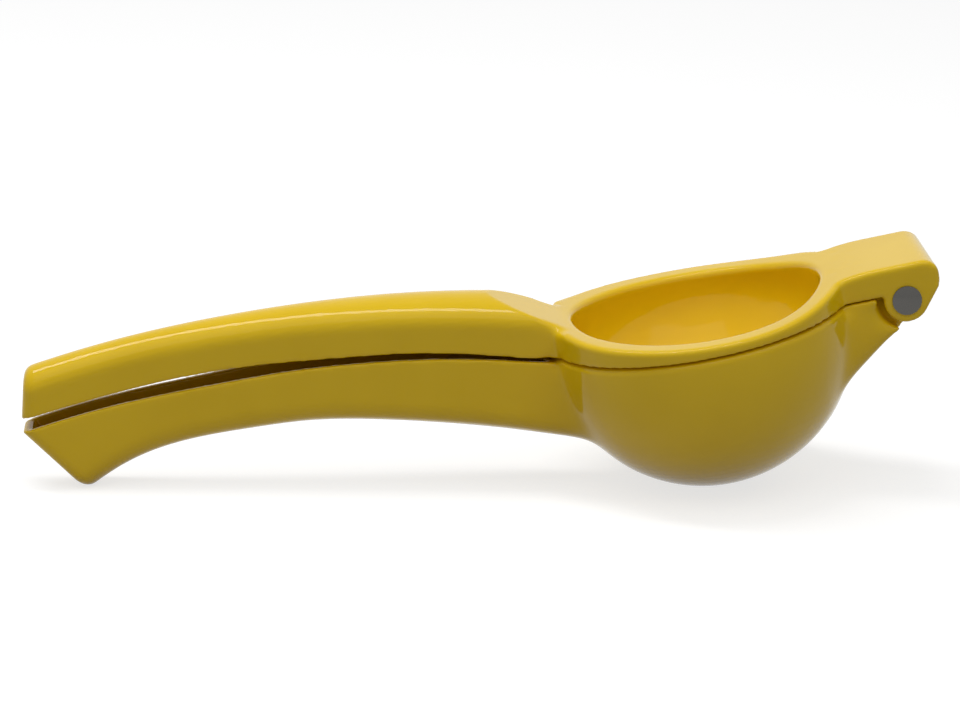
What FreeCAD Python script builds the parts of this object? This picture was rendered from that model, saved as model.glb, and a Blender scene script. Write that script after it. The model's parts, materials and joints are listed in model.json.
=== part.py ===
import FreeCAD, Part
import math
import os

Vector = FreeCAD.Vector

# A hinged lemon squeezer: two cast levers on one stainless rivet.
# The lower lever ends in a bowl with strainer holes, the upper one in a cup that presses into it.
# Both levers are drawn closed, in the parting frame: the origin is the centre of the bowl's sphere,
# X runs to the hinge and Z is square to the plane in which the levers part.
# The finished squeezer is then tipped about Y until its bowl and its handle's tip stand on one floor.

# Bowl
bowl_radius = 37.0
bowl_wall = 3.0
rim_height = 3.6
rim_edge_radius = 1.5
strainer_hole_diameter = 4.0
strainer_ring_radius = 7.4
strainer_ring_holes = 6

# Press ring and cup
parting_gap = 0.35
ring_inset = 0.1
ring_low_height = 2.65
ring_low_reach = 5.0
ring_neck_height = 4.5
ring_neck_reach = 22.0
ring_high_height = 3.65
ring_high_reach = 24.0
ring_edge_radius = 1.2
arm_corner_radius = 2.5
cup_side_clearance = 1.6
cup_mouth_edge_radius = 1.5
cup_side_radius = 18.0
cup_depth = 25.5
cup_wall = 2.4
cup_seat_depth = 0.9

# Channel handles
casting_wall = 2.0
handle_reach = 164.2
upper_handle_setback = 0.4
upper_end_lean = 15.0
handle_root_depth = 9.0
arch_corner_radius = 5.6
arch_lean = 32.0
handle_end_radius = 3.0
beak_lean = 34.0
# Stations along the handles, as shares of the way from their root in the bowl to the free end
station_share = (0.0, 0.126, 0.234, 0.367, 0.51, 0.658, 0.801, 0.90, 1.02)
# Half width, underside, rim, gap between the handles and height of the upper handle at each station
station_half_width = (11.1, 10.4, 9.7, 8.7, 7.5, 6.5, 6.05, 6.0, 6.0)
station_underside = (-21.8, -15.0, -10.15, -5.15, -1.3, -0.1, -1.4, -6.2, -14.2)
station_rim = (1.3, 5.1, 8.5, 11.3, 13.0, 13.35, 13.25, 12.5, 10.8)
station_gap = (2.9, 1.0, 1.55, 1.85, 2.35, 3.35, 3.1, 2.9, 2.9)
station_height = (11.5, 13.85, 12.9, 12.45, 11.95, 11.3, 11.25, 11.15, 10.85)

# Neck, where the upper handle's crown runs down to the ring
neck_slope = 31.0
neck_foot_inset = 3.9
neck_foot_height = 7.3

# Hinge
pin_outreach = 11.3
pin_height = 2.1
pin_radius = 2.5
pin_running_clearance = 0.06
head_radius = 3.5
head_height = 1.0
head_edge_height = 0.35
cap_stem_radius = 1.5
cap_stem_length = 14.0
shank_end_gap = 0.3
pin_bore_end_gap = 1.0
arm_half_width = 15.6
arm_height = 6.8
arm_rise_inset = 5.3
ear_thickness = 4.4
ear_radius = 5.4
ear_flank_angle = 37.0
ear_heel_reach = 8.8
ear_top_radius = 4.0
tongue_side_clearance = 0.4
knuckle_radius = 4.3
knuckle_clearance = 0.5
shoulder_clearance = 1.7
bracket_slope = 39.0
bracket_depth = 3.4
bracket_length = 26.0

# Worked out from the above
bowl_inner_radius = bowl_radius - bowl_wall
cup_mouth_radius = bowl_inner_radius - cup_side_clearance - cup_wall
ring_radius = bowl_radius - ring_inset
ring_underside = rim_height + parting_gap
arm_top = ring_underside + arm_height
neck_foot_reach = ring_radius - neck_foot_inset
handle_root_reach = bowl_radius - handle_root_depth
pin_reach = bowl_radius + pin_outreach
pin_place = (pin_reach, pin_height)
arm_rise_reach = pin_reach - arm_rise_inset
slot_half_width = arm_half_width - ear_thickness
tongue_half_width = slot_half_width - tongue_side_clearance
shoulder_radius = ear_radius + shoulder_clearance

# Longer than anything here, for shapes that cut right through
far = 3 * handle_reach

# Points nearer to each other than this are the same point
touching = 0.01
# How closely the resting tilt is found, in degrees
resting_precision = 0.00001


def place(point):
    return Vector(point[0], 0, point[1])


def line(a, b):
    return Part.LineSegment(place(a), place(b)).toShape()


def arc(a, middle, b):
    return Part.Arc(place(a), place(middle), place(b)).toShape()


def polar(centre, radius, degrees):
    angle = math.radians(degrees)
    return (centre[0] + radius * math.cos(angle), centre[1] + radius * math.sin(angle))


def arc_about(centre, radius, first, last):
    start, middle, end = [polar(centre, radius, angle) for angle in (first, (first + last) / 2, last)]
    return arc(start, middle, end)


def chain(points):
    return [line(a, b) for a, b in zip(points, points[1:])]


def across(edges, half_width):
    """A closed side outline, made solid to half_width on either side of the middle."""
    face = Part.Face(Part.Wire(edges))
    face.translate(Vector(0, -half_width, 0))
    return face.extrude(Vector(0, 2 * half_width, 0))


def turned(edges):
    """A closed half outline, turned about the bowl's axis."""
    solid = Part.Face(Part.Wire(edges)).revolve(Vector(0, 0, 0), Vector(0, 0, 1), 360)
    if solid.Volume < 0:
        solid.reverse()
    return solid


def cross_cylinder(radius, centre, half_width):
    """A cylinder along Y, as long on either side of the middle."""
    start = Vector(centre[0], -half_width, centre[1])
    return Part.makeCylinder(radius, 2 * half_width, start, Vector(0, 1, 0))


def upright_cylinder(radius):
    """A cylinder about the bowl's axis that runs out of everything above and below."""
    return Part.makeCylinder(radius, 2 * far, Vector(0, 0, -far))


def slope(degrees):
    return math.tan(math.radians(degrees))


def edge_middle(edge):
    first, last = edge.ParameterRange
    return edge.valueAt((first + last) / 2)


def chosen(shape, test):
    """The edges of a shape whose two ends and middle all pass the test."""
    picked = []
    for edge in shape.Edges:
        first, last = edge.ParameterRange
        if all(test(edge.valueAt(first + share * (last - first))) for share in (0.0, 0.5, 1.0)):
            picked.append(edge)
    return picked


# Handles

station_x = [-(handle_root_reach + share * (handle_reach - handle_root_reach)) for share in station_share]
upper_edge = [rim + gap for rim, gap in zip(station_rim, station_gap)]
upper_crown = [edge + height for edge, height in zip(upper_edge, station_height)]


def channel_section(x, half_width, open_z, crown_z, corner):
    """A channel's outline square to X: straight sides that a three-centred arch closes at crown_z."""
    up = 1 if crown_z > open_z else -1
    lean = math.radians(arch_lean)
    flat = half_width - corner
    side_z = crown_z - up * (corner + flat * math.tan(lean / 2))

    def corner_point(side, angle):
        return Vector(x, side * (flat + corner * math.cos(angle)), side_z + up * corner * math.sin(angle))

    haunch = math.pi / 2 - lean
    feet = [Vector(x, side * half_width, open_z) for side in (-1, 1)]
    sides = [corner_point(side, 0) for side in (-1, 1)]
    haunches = [corner_point(side, haunch) for side in (-1, 1)]
    middles = [corner_point(side, haunch / 2) for side in (-1, 1)]
    edges = [
        Part.LineSegment(feet[0], sides[0]),
        Part.Arc(sides[0], middles[0], haunches[0]),
        Part.Arc(haunches[0], Vector(x, 0, crown_z), haunches[1]),
        Part.Arc(haunches[1], middles[1], sides[1]),
        Part.LineSegment(sides[1], feet[1]),
        Part.LineSegment(feet[1], feet[0]),
    ]
    return Part.Wire([edge.toShape() for edge in edges])


def channel(open_z, crown_z, inset, overshoot):
    """A solid channel through the stations, shrunk by inset and pushed past its open side."""
    up = 1 if crown_z[0] > open_z[0] else -1
    sections = []
    for x, half_width, opening, crown in zip(station_x, station_half_width, open_z, crown_z):
        sections.append(channel_section(x, half_width - inset, opening - up * overshoot,
                                        crown - up * inset, arch_corner_radius - inset))
    return Part.makeLoft(sections, True)


def beyond_end(end_z, lean, setback):
    """The space past a handle's end wall, which leans by so many degrees from the upright."""
    foot = (setback - handle_reach, end_z)
    top = polar(foot, far, 90 - lean)
    bottom = polar(foot, far, 270 - lean)
    outer = [polar(corner, far, 180 - lean) for corner in (bottom, top)]
    return across(chain([top, bottom] + outer + [top]), far)


def handle(open_z, crown_z, lean, setback):
    """A channel handle as two solids: its outside, with a rounded end wall, and its hollow."""
    end_z = open_z[-1]
    normal = Vector(math.cos(math.radians(lean)), 0, -math.sin(math.radians(lean)))
    corner = Vector(setback - handle_reach, 0, end_z)

    def on_end_wall(point):
        return abs((point - corner).dot(normal)) < touching

    outside = channel(open_z, crown_z, 0, 0).cut(beyond_end(end_z, lean, setback))
    end_edges = chosen(outside, on_end_wall)
    walled_edges = [edge for edge in end_edges if abs(edge_middle(edge).z - end_z) > casting_wall / 2]
    outside = outside.makeFillet(handle_end_radius, walled_edges)
    inner_setback = setback + casting_wall / math.cos(math.radians(lean))
    hollow = channel(open_z, crown_z, casting_wall, casting_wall)
    return outside, hollow.cut(beyond_end(end_z, lean, inner_setback))


# Lower lever

def bowl_outside():
    rounding_centre = (bowl_radius - rim_edge_radius, rim_height - rim_edge_radius)
    outline = [
        arc_about((0, 0), bowl_radius, -90, 0),
        line((bowl_radius, 0), polar(rounding_centre, rim_edge_radius, 0)),
        arc_about(rounding_centre, rim_edge_radius, 0, 90),
        line(polar(rounding_centre, rim_edge_radius, 90), (0, rim_height)),
        line((0, rim_height), (0, -bowl_radius)),
    ]
    return turned(outline)


def bowl_hollow():
    mouth = rim_height + rim_edge_radius
    outline = [arc_about((0, 0), bowl_inner_radius, -90, 0)]
    wall = (bowl_inner_radius, 0)
    outline += chain([wall, (bowl_inner_radius, mouth), (0, mouth), (0, -bowl_inner_radius)])
    return turned(outline)


def strainer_holes():
    places = [Vector(0, 0, -far)]
    for count in range(strainer_ring_holes):
        x, y = polar((0, 0), strainer_ring_radius, 360 * count / strainer_ring_holes)
        places.append(Vector(x, y, -far))
    return [Part.makeCylinder(strainer_hole_diameter / 2, far, spot) for spot in places]


def bracket_line(distance):
    """A point on the bracket's underside, so far along it from the point below the pin."""
    foot = polar(pin_place, bracket_depth, bracket_slope - 90)
    return polar(foot, distance, bracket_slope + 180)


def bracket():
    """The bowl's two shoulders, hollowed round the ears."""
    top_angle = 180 - math.degrees(math.asin((rim_height - pin_height) / shoulder_radius))
    tip_angle = 270 + bracket_slope - math.degrees(math.acos(bracket_depth / shoulder_radius))
    top = polar(pin_place, shoulder_radius, top_angle)
    tip = polar(pin_place, shoulder_radius, tip_angle)
    foot = bracket_line(bracket_length)
    scoop = arc_about(pin_place, shoulder_radius, top_angle, tip_angle)
    return across([scoop] + chain([tip, foot, (0, foot[1]), (0, rim_height), top]), arm_half_width)


def tongue():
    """The knuckle round the rivet, and the web that carries it from the bracket."""
    underside = polar(pin_place, knuckle_radius, bracket_slope - 90)
    root = (bowl_inner_radius, underside[1] - (underside[0] - bowl_inner_radius) * slope(bracket_slope))
    top = min(rim_height, pin_height + knuckle_radius)
    web = [(bowl_inner_radius, top), (pin_reach, top), underside, root, (bowl_inner_radius, top)]
    knuckle = cross_cylinder(knuckle_radius, pin_place, tongue_half_width)
    return knuckle.fuse(across(chain(web), tongue_half_width))


def bowl_lever():
    outside, hollow = handle(station_rim, station_underside, -beak_lean, 0)
    lever = bowl_outside().fuse([bracket(), tongue(), outside])
    hollow = hollow.cut(upright_cylinder(bowl_radius + casting_wall))
    bore = cross_cylinder(pin_radius + pin_running_clearance, pin_place, arm_half_width)
    return lever.cut([bowl_hollow(), hollow, bore] + strainer_holes()).removeSplitter()


# Upper lever

def above_ring(lowered):
    """The space over the neck, the saddle of the ring and the arm, all lowered by so much."""
    spots = [
        (-neck_foot_reach, neck_foot_height),
        (-ring_neck_reach, ring_neck_height),
        (ring_low_reach, ring_low_height),
        (ring_high_reach, ring_high_height),
        (arm_rise_reach, arm_height),
    ]
    spots = [(x, ring_underside + height - lowered) for x, height in spots]
    curve = Part.BSplineCurve()
    curve.interpolate(Points=[place(spot) for spot in spots],
                      InitialTangent=place(polar((0, 0), 1, -neck_slope)), FinalTangent=Vector(1, 0, 0))
    high = spots[0][1] + far * slope(neck_slope)
    start = (spots[0][0] - far, high)
    end = (far, spots[-1][1])
    return across([curve.toShape()] + chain([spots[-1], end, (far, high), start, spots[0]]), far)


def arm():
    """The arm and the two ears, joined over the tongue."""
    left_angle = 180 - math.degrees(math.asin((ring_underside - pin_height) / ear_radius))
    left = polar(pin_place, ear_radius, left_angle)
    flank = polar(pin_place, ear_radius, -ear_flank_angle)
    back = pin_reach + ear_heel_reach
    heel = (back, flank[1] + (back - flank[0]) / slope(ear_flank_angle))
    top_centre = (back - ear_top_radius, arm_top - ear_top_radius)
    outline = [
        arc_about(pin_place, ear_radius, left_angle, 360 - ear_flank_angle),
        line(flank, heel),
        line(heel, polar(top_centre, ear_top_radius, 0)),
        arc_about(top_centre, ear_top_radius, 0, 90),
    ]
    outline += chain([polar(top_centre, ear_top_radius, 90), (0, arm_top), (0, ring_underside), left])
    return across(outline, arm_half_width)


def tongue_slot():
    """Room for the knuckle and its web to turn between the ears, open below and at the free end."""
    swing = knuckle_radius + knuckle_clearance
    shoulder_angle = 180 - math.degrees(math.asin((ring_underside - pin_height) / swing))
    top = polar(pin_place, swing, 90)
    shoulder = polar(pin_place, swing, shoulder_angle)
    front = shoulder[0] - ear_radius
    low = -bowl_radius
    corners = [shoulder, (front, shoulder[1]), (front, low), (far, low), (far, top[1]), top]
    return across([arc_about(pin_place, swing, 90, shoulder_angle)] + chain(corners), slot_half_width)


def cup_shape(inset, mouth):
    """The pressing cup's three-centred bowl under the ring, shrunk by inset and carried up to the mouth."""
    radius = cup_mouth_radius + cup_wall - inset
    depth = cup_depth + cup_wall - inset
    side_radius = cup_side_radius + cup_wall - inset
    side = (radius - side_radius, ring_underside)
    bottom = (0, ring_underside - depth)
    base_radius = (side[0] ** 2 + depth ** 2 - side_radius ** 2) / (2 * (depth - side_radius))
    base = (0, bottom[1] + base_radius)
    meeting = math.degrees(math.atan2(side[1] - base[1], side[0]))
    outline = [arc_about(base, base_radius, -90, meeting), arc_about(side, side_radius, meeting, 0)]
    return turned(outline + chain([(radius, side[1]), (radius, mouth), (0, mouth), bottom]))


def ring_and_arm():
    """The ring with its arm and ears, rounded where they meet and along the upper edge."""
    ring = Part.makeCylinder(ring_radius, arm_height, Vector(0, 0, ring_underside))
    blank = ring.fuse(arm()).removeSplitter()

    def above_underside(point):
        return point.z > ring_underside + touching

    def on_ring_side(point):
        return abs(math.hypot(point.x, point.y) - ring_radius) < touching

    def in_corner(point):
        return on_ring_side(point) and point.x > 0 and abs(abs(point.y) - arm_half_width) < touching

    def on_upper_edge(point):
        return on_ring_side(point) and above_underside(point)

    def on_mouth_edge(point):
        return abs(math.hypot(point.x, point.y) - cup_mouth_radius) < touching and above_underside(point)

    blank = blank.makeFillet(arm_corner_radius, chosen(blank, in_corner)).cut(above_ring(0))
    blank = blank.makeFillet(ring_edge_radius, chosen(blank, on_upper_edge))
    blank = blank.cut(upright_cylinder(cup_mouth_radius))
    return blank.makeFillet(cup_mouth_edge_radius, chosen(blank, on_mouth_edge))


def press_lever():
    outside, hollow = handle(upper_edge, upper_crown, upper_end_lean, upper_handle_setback)
    handle_side = outside.cut([above_ring(0), upright_cylinder(cup_mouth_radius + cup_mouth_edge_radius)])
    cup_top = ring_underside + cup_seat_depth
    cup = cup_shape(0, cup_top).cut(cup_shape(cup_wall, cup_top + cup_wall))
    neck_wall = casting_wall / math.cos(math.radians(neck_slope))
    hollow = hollow.cut([upright_cylinder(ring_radius + casting_wall), above_ring(neck_wall)])
    bore = cross_cylinder(pin_radius, pin_place, arm_half_width)
    return ring_and_arm().fuse([handle_side, cup]).cut([hollow, tongue_slot(), bore]).removeSplitter()


# Rivet, in two halves that press together

def dome(side):
    """A rivet head outside one ear: side is -1 for the pin's own head and 1 for the cap's."""
    base = Vector(pin_reach, side * arm_half_width, pin_height)
    rise = head_height - head_edge_height
    ball_radius = (head_radius ** 2 + rise ** 2) / (2 * rise)
    edge = Part.makeCylinder(head_radius, head_height, base, Vector(0, side, 0))
    ball = Part.makeSphere(ball_radius, base + Vector(0, side * (head_height - ball_radius), 0))
    return edge.common(ball)


def shank(radius, first, last):
    return Part.makeCylinder(radius, last - first, Vector(pin_reach, first, pin_height), Vector(0, 1, 0))


def hinge_pin():
    end = arm_half_width - shank_end_gap
    pin = dome(-1).fuse(shank(pin_radius, -arm_half_width, end))
    return pin.cut(shank(cap_stem_radius, end - cap_stem_length - pin_bore_end_gap, end)).removeSplitter()


def pin_cap():
    stem = shank(cap_stem_radius, arm_half_width - shank_end_gap - cap_stem_length, arm_half_width)
    return dome(1).fuse(stem).removeSplitter()


# The four parts, tipped until bowl and handle stand on one floor

def resting_tilt(lever):
    """The tilt in degrees that brings the handle's tip as low as the bowl, by halving an interval."""
    free_half = Part.makeBox(far, 2 * far, 2 * far, Vector(-far - handle_reach / 2, -far, -far))
    free_half = lever.common(free_half).copy()
    points, facets = free_half.tessellate(touching / 2)
    low, high = 0.0, 45.0
    while high - low > resting_precision:
        middle = (low + high) / 2
        sine, cosine = math.sin(math.radians(middle)), math.cos(math.radians(middle))
        if min(point.x * sine + point.z * cosine for point in points) > -bowl_radius:
            low = middle
        else:
            high = middle
    return low


made = {
    "bowl_lever": bowl_lever(),
    "press_lever": press_lever(),
    "hinge_pin": hinge_pin(),
    "pin_cap": pin_cap(),
}
tilt = resting_tilt(made["bowl_lever"])
for shape in made.values():
    shape.rotate(Vector(0, 0, 0), Vector(0, 1, 0), -tilt)
whole = Part.makeCompound(list(made.values())).optimalBoundingBox()
shift = Vector(-whole.Center.x, -whole.Center.y, bowl_radius)
os.makedirs("parts", exist_ok=True)
for name, shape in made.items():
    shape.translate(shift)
    shape.exportStep("parts/" + name + ".step")
    print(name, "volume", round(shape.Volume), "mm3, valid", shape.isValid())
print("tilt", round(tilt, 5), "degrees, shifted by", round(shift.x, 5), "mm along X")
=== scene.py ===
import json
import math

import bpy
import numpy as np
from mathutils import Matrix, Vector


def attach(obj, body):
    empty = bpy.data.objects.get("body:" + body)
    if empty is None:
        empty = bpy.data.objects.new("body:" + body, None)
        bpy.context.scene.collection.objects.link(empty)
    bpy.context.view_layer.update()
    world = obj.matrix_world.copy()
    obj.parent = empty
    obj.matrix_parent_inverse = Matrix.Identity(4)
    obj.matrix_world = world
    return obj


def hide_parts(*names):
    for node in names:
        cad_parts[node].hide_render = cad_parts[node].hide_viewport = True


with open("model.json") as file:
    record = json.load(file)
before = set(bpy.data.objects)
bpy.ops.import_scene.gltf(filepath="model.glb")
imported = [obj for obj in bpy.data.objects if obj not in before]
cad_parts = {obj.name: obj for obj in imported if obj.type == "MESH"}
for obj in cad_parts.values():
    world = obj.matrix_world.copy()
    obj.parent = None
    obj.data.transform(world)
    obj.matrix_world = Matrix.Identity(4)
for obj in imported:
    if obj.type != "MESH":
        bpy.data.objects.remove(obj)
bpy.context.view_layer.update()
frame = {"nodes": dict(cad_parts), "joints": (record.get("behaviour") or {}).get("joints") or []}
scene = bpy.context.scene


# Materials

enamel_yellow = (0.78, 0.51, 0.004, 1)
enamel_light_yellow = (0.81, 0.535, 0.006, 1)
enamel_gloss = 0.16
enamel_roughness = (0.05, 0.09)
enamel_wave_depth = 0.00001
# Painted reflection: the steel's base colour is darkened to stand in for the dark room a polished pin
# reflects, not the steel's own tone.
steel_painted_dark_reflection = (0.095, 0.092, 0.086, 1)
steel_roughness = (0.15, 0.3)


def material(name):
    made = bpy.data.materials.new(name)
    made.use_nodes = True
    tree = made.node_tree
    return made, tree, tree.nodes["Principled BSDF"]


def noise(tree, scale, detail):
    """Noise in the object's own metres: scale is waves per metre."""
    place = tree.nodes.new("ShaderNodeTexCoord")
    waves = tree.nodes.new("ShaderNodeTexNoise")
    waves.inputs["Scale"].default_value = scale
    waves.inputs["Detail"].default_value = detail
    tree.links.new(place.outputs["Object"], waves.inputs["Vector"])
    return waves


def spread(tree, source, low, high):
    """The source's middle values spread from low to high."""
    ranged = tree.nodes.new("ShaderNodeMapRange")
    ranged.inputs["From Min"].default_value = 0.3
    ranged.inputs["From Max"].default_value = 0.7
    ranged.inputs["To Min"].default_value = low
    ranged.inputs["To Max"].default_value = high
    tree.links.new(source.outputs[0], ranged.inputs["Value"])
    return ranged


def relief(tree, shader, source, depth):
    bump = tree.nodes.new("ShaderNodeBump")
    bump.inputs["Distance"].default_value = depth
    bump.inputs["Strength"].default_value = 1.0
    tree.links.new(source.outputs[0], bump.inputs["Height"])
    tree.links.new(bump.outputs["Normal"], shader.inputs["Normal"])


def enamel():
    """Glossy yellow stove enamel, with the faint waviness of a sprayed coat."""
    made, tree, shader = material("enamel")
    mix = tree.nodes.new("ShaderNodeMix")
    mix.data_type = "RGBA"
    mix.inputs["A"].default_value = enamel_yellow
    mix.inputs["B"].default_value = enamel_light_yellow
    clouds = spread(tree, noise(tree, 60, 2), 0, 1)
    tree.links.new(clouds.outputs[0], mix.inputs["Factor"])
    tree.links.new(mix.outputs["Result"], shader.inputs["Base Color"])
    shader.inputs["IOR"].default_value = 1.5
    shader.inputs["Specular IOR Level"].default_value = enamel_gloss
    sheen = spread(tree, noise(tree, 400, 3), *enamel_roughness)
    tree.links.new(sheen.outputs[0], shader.inputs["Roughness"])
    relief(tree, shader, noise(tree, 350, 1), enamel_wave_depth)
    return made


def steel():
    """Turned stainless steel, its base colour painted dark to stand in for the dark surroundings the
    polished pin reflects.
    """
    made, tree, shader = material("steel")
    shader.inputs["Metallic"].default_value = 1.0
    shader.inputs["Base Color"].default_value = steel_painted_dark_reflection
    brushing = spread(tree, noise(tree, 3000, 2), *steel_roughness)
    tree.links.new(brushing.outputs[0], shader.inputs["Roughness"])
    return made


# Castings
# The two levers are shown as copies of their CAD nodes whose creases run together softly,
# as they do in a casting under a coat of enamel.

# In metres: the bowl's outside radius, the pin from the bowl's centre along and above the parting,
# and the size of a mesh cell
bowl_radius = 0.037
pin_reach = 0.0483
pin_height = 0.0021
grain = 0.00045

# How a crease's softening fades out, in how many steps, and how much the whole casting is evened
fade_steepness = 1.3
fade_steps = 10
evening_repeats = 4

# The levers' own frame, found from the hinge: the bowl stands on the floor,
# and the pin is pin_reach beside its centre and pin_height above it
hinge = Vector(frame["joints"][0]["pos_m"])
rise = hinge.z - bowl_radius
tilt = math.asin(rise / math.hypot(pin_reach, pin_height)) - math.atan2(pin_height, pin_reach)
bowl_x = hinge.x - pin_reach * math.cos(tilt) + pin_height * math.sin(tilt)
bowl_centre = Vector((bowl_x, 0, bowl_radius))


def to_parting(places):
    """Places in the levers' own frame, from the bowl's centre and with Z square to the parting."""
    way = places - np.array(bowl_centre)
    turned = way.copy()
    turned[:, 0] = way[:, 0] * math.cos(tilt) + way[:, 2] * math.sin(tilt)
    turned[:, 2] = way[:, 2] * math.cos(tilt) - way[:, 0] * math.sin(tilt)
    return turned


def coordinates(mesh, layer="co"):
    """The mesh's vertices, or another layer of three values for each vertex, as an array."""
    values = np.empty(len(mesh.vertices) * 3)
    mesh.vertices.foreach_get(layer, values)
    return values.reshape(-1, 3)


def distance_to_line(places, corners):
    """How far each place is from a line through the corners, in millimetres."""
    best = np.full(len(places), np.inf)
    for a, b in zip(np.array(corners, float), np.array(corners[1:], float)):
        share = np.clip((places - a) @ (b - a) / ((b - a) @ (b - a)), 0, 1)
        best = np.minimum(best, np.linalg.norm(places - a - share[:, None] * (b - a), axis=1))
    return best


def smoothing(piece, name, group, repeats):
    step = piece.modifiers.new(name, "SMOOTH")
    step.factor = 0.5
    step.iterations = repeats
    step.vertex_group = group


def group_of(piece, name, weights):
    """A vertex group that holds the weights in fade_steps steps."""
    group = piece.vertex_groups.new(name=name)
    for level in range(1, fade_steps + 1):
        share = level / fade_steps
        chosen = np.flatnonzero(np.round(weights * fade_steps) == level)
        group.add(chosen.tolist(), share, "REPLACE")


def settle(piece):
    """Works the piece's modifiers into its mesh."""
    depsgraph = bpy.context.evaluated_depsgraph_get()
    done = bpy.data.meshes.new_from_object(piece.evaluated_get(depsgraph))
    piece.modifiers.clear()
    piece.data = done


def casting(node_name, body, creases, keep_out):
    """A copy of a lever whose creases are softened, apart from the surfaces that keep_out names."""
    node = frame["nodes"][node_name]
    piece = bpy.data.objects.new(node_name + "_casting", node.data.copy())
    scene.collection.objects.link(piece)
    remesh = piece.modifiers.new("remesh", "REMESH")
    remesh.mode = "VOXEL"
    remesh.voxel_size = grain
    settle(piece)
    places = to_parting(coordinates(piece.data)) * 1000
    normals = coordinates(piece.data, "normal")
    free = ~keep_out(places, normals)
    for number, (corners, reach, repeats) in enumerate(creases):
        mirrored = [(x, -y, z) for x, y, z in corners]
        away = np.minimum(distance_to_line(places, corners), distance_to_line(places, mirrored))
        weights = np.clip(fade_steepness * (1 - away / reach), 0, 1) * free
        group_of(piece, f"crease{number}", weights)
        smoothing(piece, f"soften{number}", f"crease{number}", repeats)
    smoothing(piece, "even", "", evening_repeats)
    settle(piece)
    piece.data.materials.clear()
    piece.data.materials.append(enamel_coat)
    piece.data.polygons.foreach_set("use_smooth", [True] * len(piece.data.polygons))
    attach(piece, body)
    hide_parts(node_name)


# What the softening leaves alone, in millimetres in the levers' own frame: the insides of the bowl
# and the channels, the pressing cup, the knuckle's top, and what lies under the press lever's ring
bowl_inside_reach = 35.3
cup_reach = 33
handle_start = -37
knuckle_top_start = 2.4
ring_underside = 4.2
inward_lean = 1
upward_lean = 0.3


def faces_middle(places, normals):
    """Which places face the lever's middle plane, as a channel's sides do from within."""
    return normals[:, 1] * places[:, 1] < -inward_lean


def inside_bowl_lever(places, normals):
    bowl_inside = np.linalg.norm(places, axis=1) < bowl_inside_reach
    channel_floor = (places[:, 0] < handle_start) & (normals[:, 2] > upward_lean)
    knuckle_top = places[:, 2] > knuckle_top_start
    return bowl_inside | faces_middle(places, normals) | channel_floor | knuckle_top


def inside_press_lever(places, normals):
    cup = np.hypot(places[:, 0], places[:, 1]) < cup_reach
    under_ring = places[:, 2] < ring_underside
    return cup | under_ring | faces_middle(places, normals)


enamel_coat = enamel()
steel_skin = steel()
for name in ("hinge_pin", "pin_cap"):
    node = frame["nodes"][name]
    node.data.materials.clear()
    node.data.materials.append(steel_skin)

# Each crease: the corners of its line in millimetres in the levers' own frame, how far from that line
# the softening reaches, and how many times it is repeated. Each has a mirror image on the far side.
handle_crease = (
    [(-35.4, 10.8, 3), (-34.8, 10.85, -6.4), (-32, 10.3, -15.5), (-31, 8, -18.5), (-31, 0, -20)],
    12,
    420,
)
bracket_crease = (
    [(33.5, 15.6, 3), (33.4, 15.6, -1), (32.4, 15.6, -8.8), (33.4, 7, -14.4), (33.4, 0, -14.6)],
    12,
    420,
)
neck_crease = ([(-35.3, 10.8, 4), (-35.3, 10.8, 11)], 5, 60)
heel_crease = ([(57.1, 0, 5), (57.1, 15.6, 5)], 3.5, 40)
casting("bowl_lever", "lower_lever", [handle_crease, bracket_crease], inside_bowl_lever)
casting("press_lever", "upper_lever", [neck_crease, heel_crease], inside_press_lever)


# Camera, floor and light

room_light = 0.22
backdrop_white = 1.0
table_grey = (0.45, 0.45, 0.45, 1)
paper_grey = (0.4, 0.4, 0.4, 1)
paper_glow = 0.72
floor_width = 8
camera_place = (-0.05355, -0.92387, 0.29107)
camera_turns = (74.2658, -0.6129, -3.1912)


def soft_box(name, place, aim, width, length, power):
    """A rectangular lamp that shines from its place to its aim; lengths in metres, power in watts."""
    light = bpy.data.lights.new(name, "AREA")
    light.shape = "RECTANGLE"
    light.size = width
    light.size_y = length
    light.energy = power
    lamp = bpy.data.objects.new(name, light)
    lamp.location = place
    lamp.rotation_euler = (Vector(aim) - Vector(place)).to_track_quat("-Z", "Y").to_euler()
    scene.collection.objects.link(lamp)


soft_box("key_box", (-0.24, 0.10, 0.95), (-0.03, 0.0, 0.03), 0.2, 0.8, 5.2)
soft_box("fill_box", (0.05, -0.5, 1.15), (0.03, 0.0, 0.03), 1.6, 1.0, 5.6)


def either(tree, one, other):
    """The larger of two yes-or-no values."""
    larger = tree.nodes.new("ShaderNodeMath")
    larger.operation = "MAXIMUM"
    tree.links.new(one, larger.inputs[0])
    tree.links.new(other, larger.inputs[1])
    return larger.outputs[0]


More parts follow.
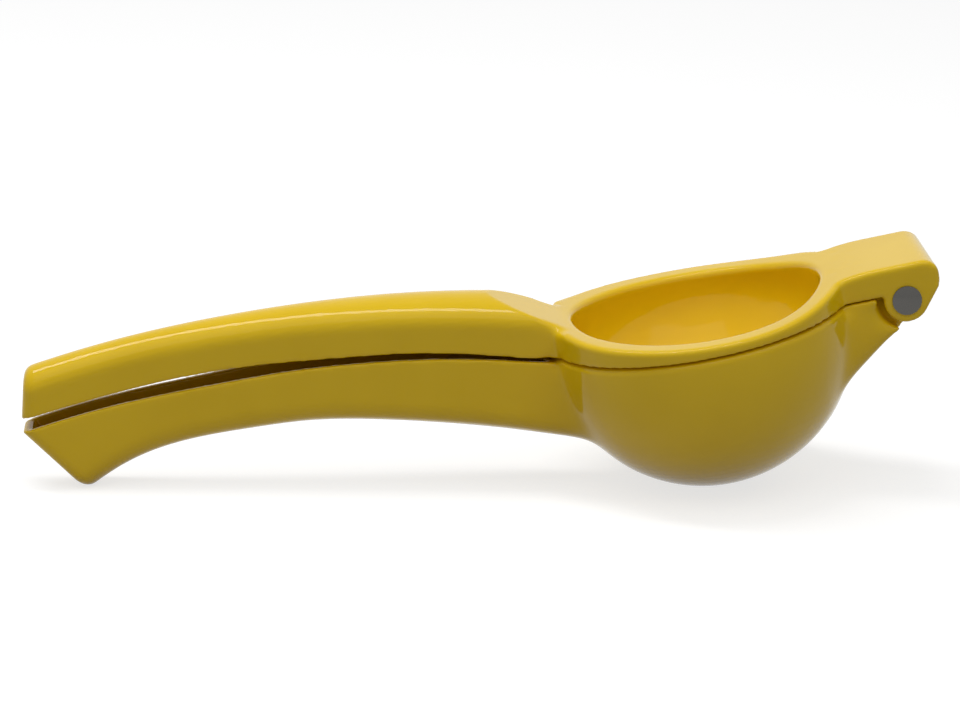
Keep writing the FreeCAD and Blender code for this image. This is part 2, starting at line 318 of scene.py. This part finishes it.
def white_where_seen(tree, shown, lit):
    """A shader that the camera, gloss and glass see as shown, and that lights the object as lit."""
    path = tree.nodes.new("ShaderNodeLightPath")
    seen = either(tree, path.outputs["Is Camera Ray"], path.outputs["Is Glossy Ray"])
    seen = either(tree, seen, path.outputs["Is Transmission Ray"])
    choice = tree.nodes.new("ShaderNodeMixShader")
    tree.links.new(seen, choice.inputs["Fac"])
    tree.links.new(lit.outputs[0], choice.inputs[1])
    tree.links.new(shown.outputs[0], choice.inputs[2])
    return choice


def plain_light(tree, kind, strength):
    light = tree.nodes.new(kind)
    light.inputs["Color"].default_value = (1, 1, 1, 1)
    light.inputs["Strength"].default_value = strength
    return light


world = bpy.data.worlds.new("studio")
world.use_nodes = True
tree = world.node_tree
room = plain_light(tree, "ShaderNodeBackground", room_light)
backdrop = plain_light(tree, "ShaderNodeBackground", backdrop_white)
seen_world = white_where_seen(tree, backdrop, room)
tree.links.new(seen_world.outputs[0], tree.nodes["World Output"].inputs["Surface"])
scene.world = world

bpy.ops.mesh.primitive_plane_add(size=floor_width, location=(0, 0, 0))
floor = bpy.context.object
floor.name = "floor"
floor_paint, tree, shader = material("floor")
tree.nodes.remove(shader)
paper = tree.nodes.new("ShaderNodeBsdfDiffuse")
paper.inputs["Color"].default_value = paper_grey
glow = plain_light(tree, "ShaderNodeEmission", paper_glow)
white_paper = tree.nodes.new("ShaderNodeAddShader")
tree.links.new(paper.outputs[0], white_paper.inputs[0])
tree.links.new(glow.outputs[0], white_paper.inputs[1])
table = tree.nodes.new("ShaderNodeBsdfDiffuse")
table.inputs["Color"].default_value = table_grey
seen_floor = white_where_seen(tree, white_paper, table)
tree.links.new(seen_floor.outputs[0], tree.nodes["Material Output"].inputs["Surface"])
floor.data.materials.append(floor_paint)

camera_data = bpy.data.cameras.new("camera")
camera_data.sensor_width = 36
camera_data.lens = 150
camera = bpy.data.objects.new("camera", camera_data)
camera.location = camera_place
camera.rotation_euler = [math.radians(turn) for turn in camera_turns]
scene.collection.objects.link(camera)
scene.camera = camera
scene.view_settings.view_transform = "Standard"
